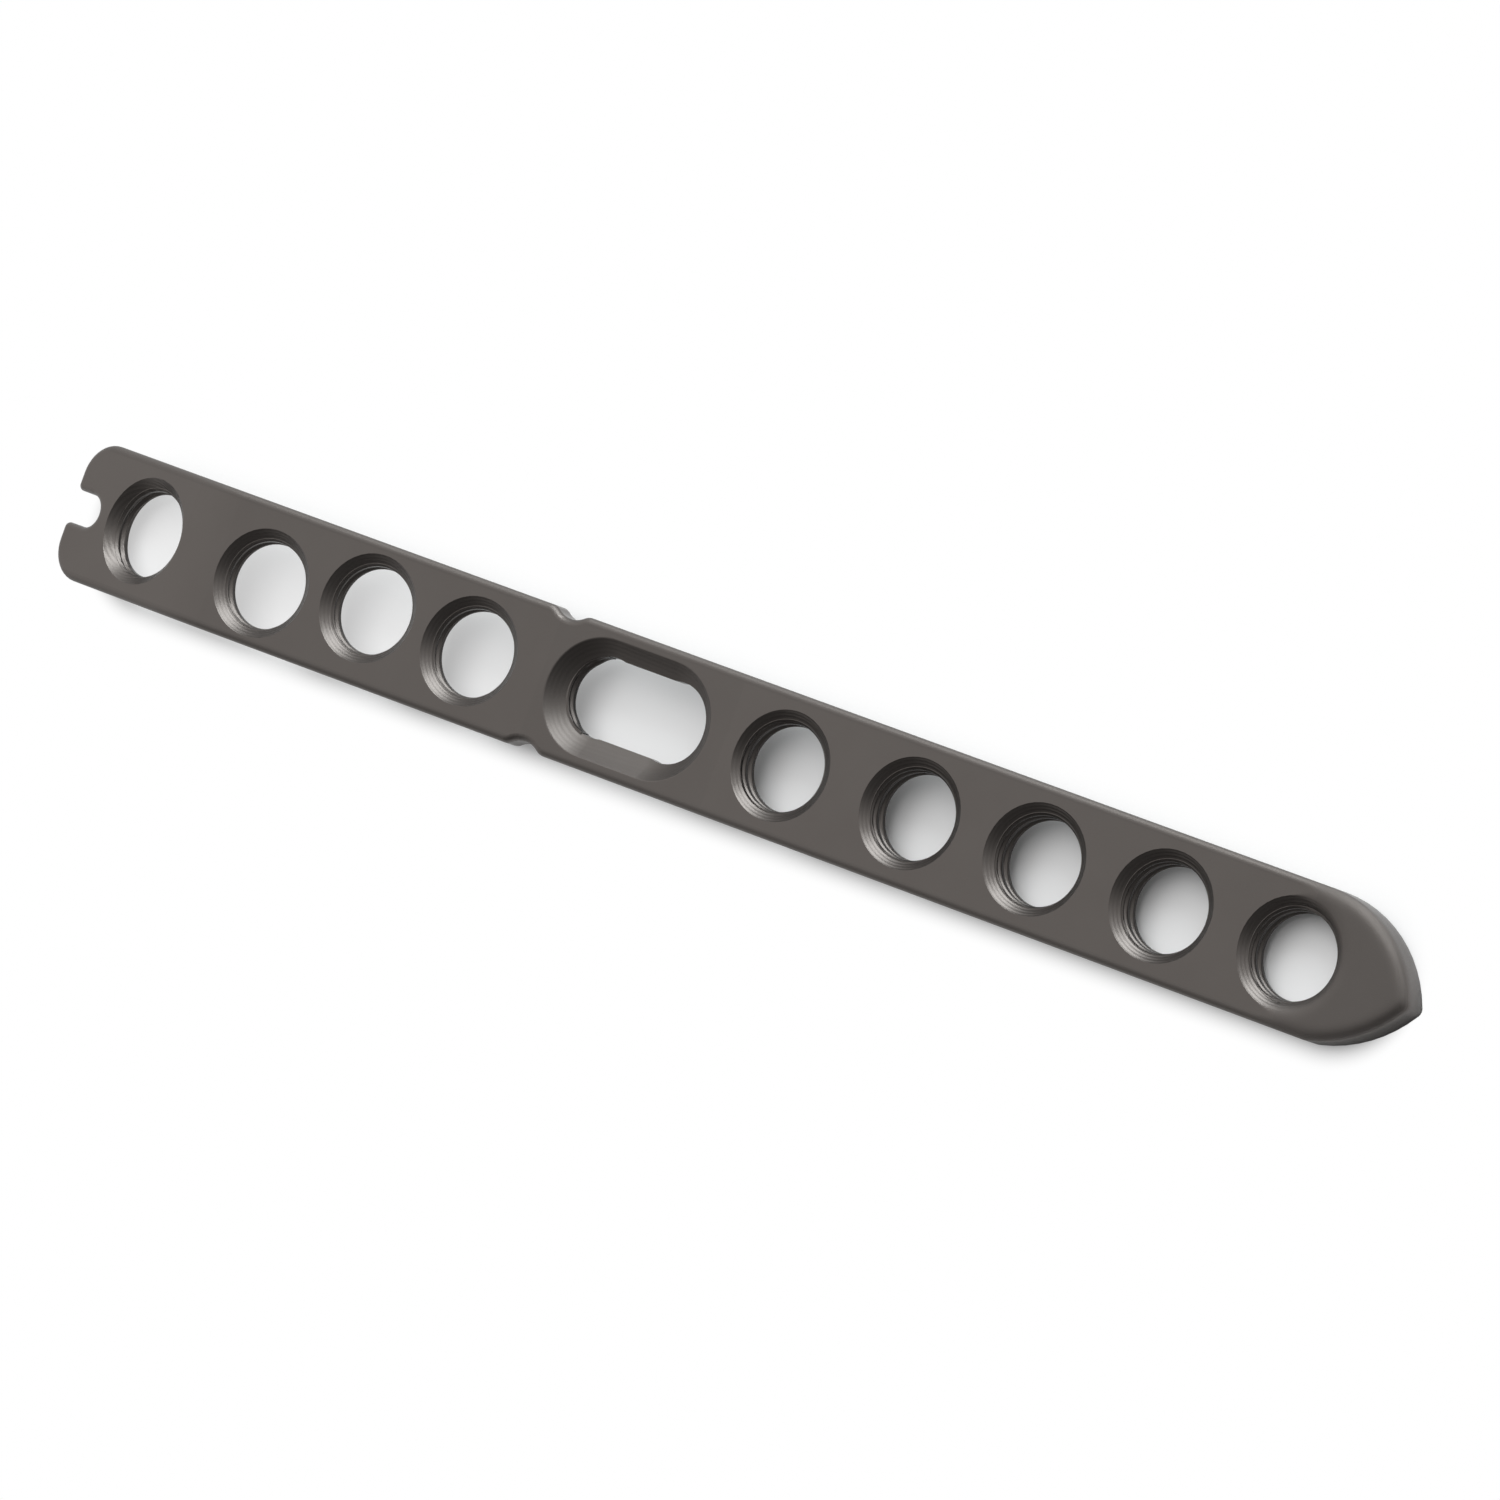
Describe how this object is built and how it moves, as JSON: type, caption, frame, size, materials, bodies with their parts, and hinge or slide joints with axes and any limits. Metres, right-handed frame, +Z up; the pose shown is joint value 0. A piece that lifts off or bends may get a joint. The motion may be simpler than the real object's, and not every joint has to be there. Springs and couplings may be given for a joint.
{
  "type": "orthopedic bone plate",
  "caption": "Slim straight bone plate with a row of threaded screw holes, a seated screw slot, a waist, a bent notched end and a bullet-shaped nose.",
  "frame": {"origin": "centre of the plate's footprint, on the surface that it rests on", "axes": "+X along the plate towards its nose, +Y across it, +Z up; the plate rests on its bent end and its nose, so its faces lean by 1.6 degrees"},
  "size_m": [0.1242, 0.011, 0.0054],
  "materials": {
    "anodised_titanium": "dark grey anodised titanium with a fine satin blast"
  },
  "bodies": {
    "root": {"bone_plate": "anodised_titanium"}
  },
  "joints": []
}
